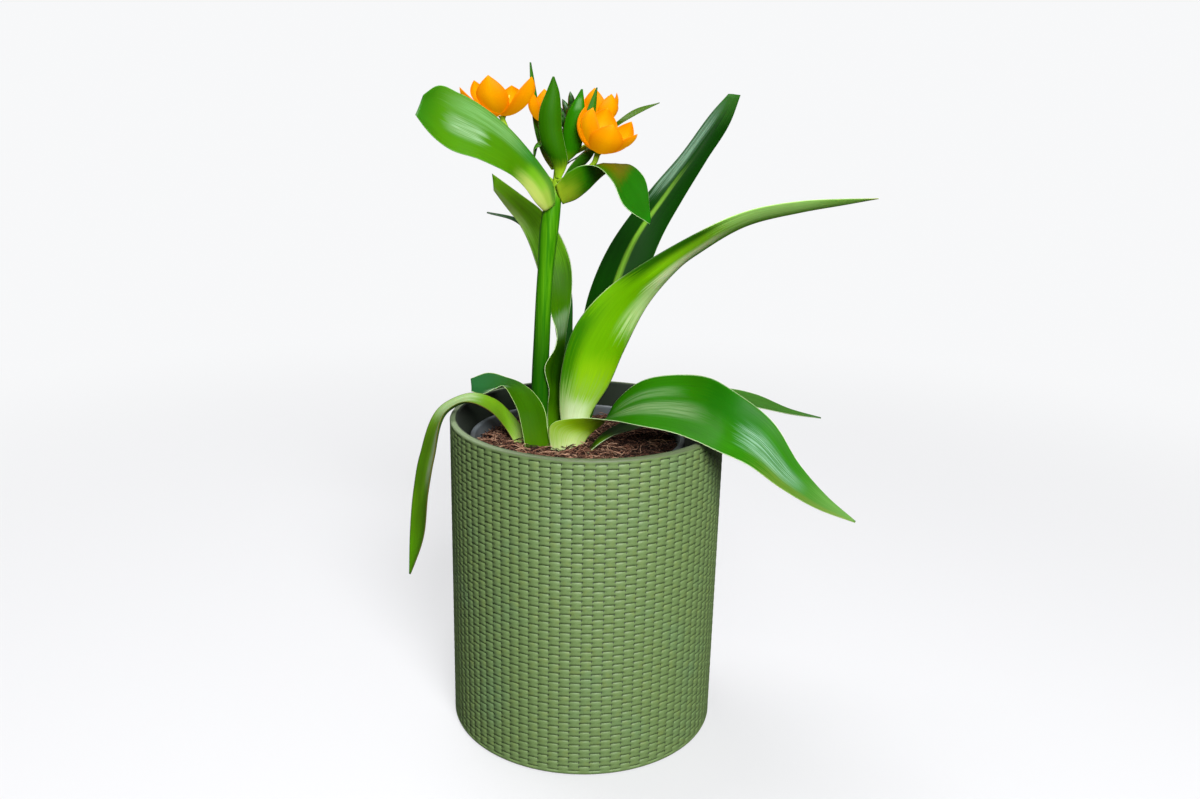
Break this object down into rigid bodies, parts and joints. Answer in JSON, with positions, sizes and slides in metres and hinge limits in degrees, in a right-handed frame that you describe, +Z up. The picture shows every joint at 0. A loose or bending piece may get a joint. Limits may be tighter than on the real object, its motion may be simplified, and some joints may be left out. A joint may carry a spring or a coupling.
{
  "type": "potted star of bethlehem",
  "caption": "Flowering bulb plant with arching strap leaves and orange cup flowers, in a nursery pot inside a tall round planter with a woven relief.",
  "frame": {"origin": "centre of the planter's flat underside, on the surface that it stands on", "axes": "+Z up; +X towards the plant's right and -Y towards the viewer, as in the front view"},
  "size_m": [0.2483, 0.148, 0.3571],
  "materials": {
    "planter": "matt moulded with woven relief",
    "nursery_pot": "satin thin moulded",
    "soil": "loose coir and bark",
    "bulb": "papery skin",
    "stem": "smooth waxy",
    "leaf": "waxy with parallel veins",
    "bract": "waxy with parallel veins",
    "bud": "smooth waxy",
    "tepal": "soft satin petals",
    "ovary": "smooth waxy"
  },
  "bodies": {
    "root": {"bract_front": "bract", "bract_front_right": "bract", "bract_left": "bract", "bract_right": "bract", "bract_short_right": "bract", "bract_small_right": "bract", "bract_thin_left": "bract", "bract_thin_low": "bract", "bract_thin_right": "bract", "bud_cluster": "bud", "bulb": "bulb", "flower_back_left_ovary": "ovary", "flower_back_left_tepals": "tepal", "flower_back_right_ovary": "ovary", "flower_back_right_tepals": "tepal", "flower_left_ovary": "ovary", "flower_left_tepals": "tepal", "flower_right_ovary": "ovary", "flower_right_tepals": "tepal", "flower_stem": "stem", "leaf_back_far": "leaf", "leaf_back_left": "leaf", "leaf_back_right": "leaf", "leaf_left_arching": "leaf", "leaf_left_drooping": "leaf", "leaf_right_drooping": "leaf", "leaf_right_low": "leaf", "leaf_right_tall": "leaf", "nursery_pot": "nursery_pot", "planter": "planter", "soil": "soil"}
  },
  "joints": []
}
